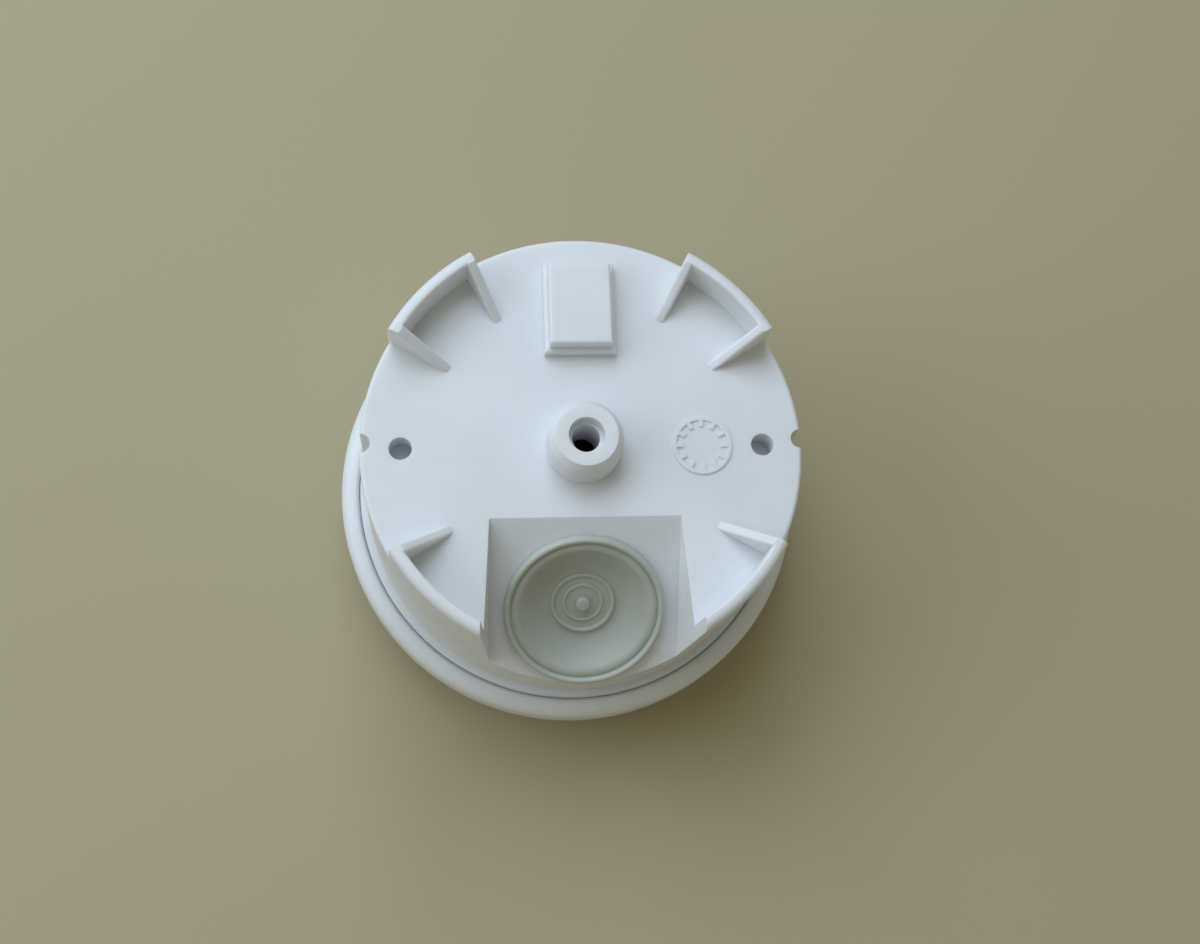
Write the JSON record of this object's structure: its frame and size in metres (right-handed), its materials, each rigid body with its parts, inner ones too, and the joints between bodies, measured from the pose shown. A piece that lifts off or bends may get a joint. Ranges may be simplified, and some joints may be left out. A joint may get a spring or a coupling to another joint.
{
  "type": "outdoor temperature sensor",
  "caption": "Round wall-mounted outdoor temperature sensor: cup housing with standoffs, cable recess and grommet, pull-off front cover, inner board with terminal and sensing bead.",
  "frame": {"origin": "centre of the flat front face of the cover, on which the sensor lies in the picture", "axes": "+Z from the cover's front to the wall side, -Y is where the cable comes in, which is down when mounted, +X to the right in the view of the wall side"},
  "size_m": [0.083, 0.083, 0.0522],
  "materials": {
    "housing_plastic": "fine satin moulding, white",
    "cover_plastic": "fine satin moulding, white",
    "gasket_rubber": "dark soft rubber",
    "grommet_rubber": "grey soft rubber",
    "board_laminate": "green lacquered laminate",
    "terminal_plastic": "grey moulding",
    "plated_steel": "bright zinc plating",
    "contact_metal": "tinned brass",
    "solder": "bright solder",
    "lead_wire": "tinned copper",
    "bead_resin": "dark glossy resin",
    "sleeve_plastic": "pale insulating tube"
  },
  "bodies": {
    "cover": {"front_cover": "cover_plastic", "cover_gasket": "gasket_rubber"},
    "base": {"base_housing": "housing_plastic", "cable_grommet": "grommet_rubber", "sensor_board": "board_laminate", "board_screws": "plated_steel", "terminal_housing": "terminal_plastic", "contact_bar_left": "contact_metal", "contact_bar_right": "contact_metal", "solder_joints": "solder", "thermistor_bead": "bead_resin", "thermistor_leads": "lead_wire", "lead_sleeves": "sleeve_plastic"},
    "terminal_screw_left": {"terminal_screw_left": "plated_steel"},
    "wire_clamp_left": {"wire_clamp_left": "plated_steel"},
    "terminal_screw_right": {"terminal_screw_right": "plated_steel"},
    "wire_clamp_right": {"wire_clamp_right": "plated_steel"}
  },
  "joints": [
    {"name": "cover_release", "type": "slide", "parent": "cover", "child": "base", "axis": [0, 0, 1], "range_m": [0, 0.03]},
    {"name": "terminal_screw_turn_left", "type": "hinge", "parent": "base", "child": "terminal_screw_left", "pos_m": [-0.00254, 0.0119, 0.0268], "axis": [0, 0, -1], "range_deg": [0, 1440]},
    {"name": "wire_clamp_travel_left", "type": "slide", "parent": "base", "child": "wire_clamp_left", "axis": [0, 0, 1], "range_m": [0, 0.002]},
    {"name": "terminal_screw_turn_right", "type": "hinge", "parent": "base", "child": "terminal_screw_right", "pos_m": [0.00254, 0.0119, 0.0268], "axis": [0, 0, -1], "range_deg": [0, 1440]},
    {"name": "wire_clamp_travel_right", "type": "slide", "parent": "base", "child": "wire_clamp_right", "axis": [0, 0, 1], "range_m": [0, 0.002]}
  ],
  "couplings": [
    {"joint": "terminal_screw_turn_left", "follows": "wire_clamp_travel_left", "rad_per_m": 12566},
    {"joint": "terminal_screw_turn_right", "follows": "wire_clamp_travel_right", "rad_per_m": 12566}
  ]
}
